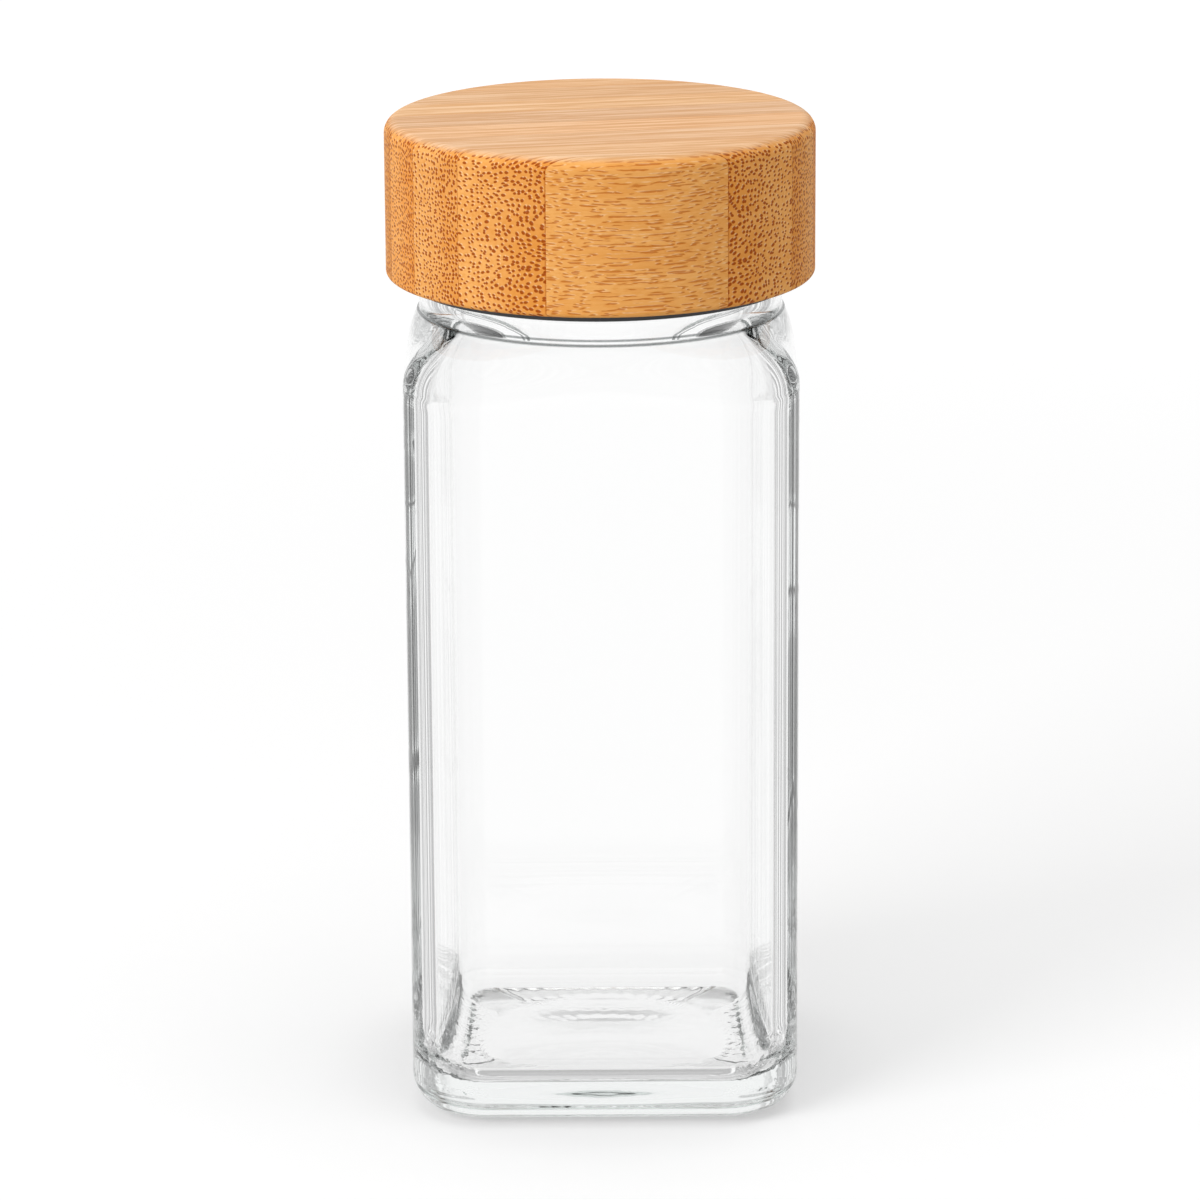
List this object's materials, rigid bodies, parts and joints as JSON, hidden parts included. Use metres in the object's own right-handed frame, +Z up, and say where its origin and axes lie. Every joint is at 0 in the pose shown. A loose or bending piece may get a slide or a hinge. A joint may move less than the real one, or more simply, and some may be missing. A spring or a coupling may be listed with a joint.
{
  "type": "spice jar",
  "caption": "Square clear glass jar with rounded corners, a round threaded neck and a round laminated bamboo screw lid with a plastic thread insert and a seal.",
  "frame": {"origin": "centre of the base, on the surface the jar stands on", "axes": "+Z up along the axis of the neck and the lid, -Y towards the front face, +X to the right seen from the front"},
  "size_m": [0.0472, 0.0472, 0.1096],
  "materials": {
    "clear_glass": "clear, polished",
    "white_liner": "matte",
    "black_plastic": "satin",
    "bamboo_light": "bare, sanded",
    "bamboo_mid": "bare, sanded",
    "bamboo_dark": "bare, sanded"
  },
  "bodies": {
    "jar": {"glass_jar": "clear_glass"},
    "liner": {"seal_liner": "white_liner"},
    "lid": {"threaded_insert": "black_plastic", "bamboo_strip_1": "bamboo_mid", "bamboo_strip_2": "bamboo_light", "bamboo_strip_3": "bamboo_dark", "bamboo_strip_4": "bamboo_light", "bamboo_strip_5": "bamboo_mid", "bamboo_strip_6": "bamboo_light", "bamboo_strip_7": "bamboo_dark", "bamboo_strip_8": "bamboo_light"}
  },
  "joints": [
    {"name": "lid_rise", "type": "slide", "parent": "jar", "child": "liner", "axis": [0, 0, 1], "range_m": [0, 0.01401]},
    {"name": "lid_turn", "type": "hinge", "parent": "liner", "child": "lid", "pos_m": [0, 0, 0.1009], "axis": [0, 0, 1], "range_deg": [0, 1260]}
  ],
  "couplings": [
    {"joint": "lid_rise", "follows": "lid_turn", "m_per_rad": 0.00063662}
  ]
}
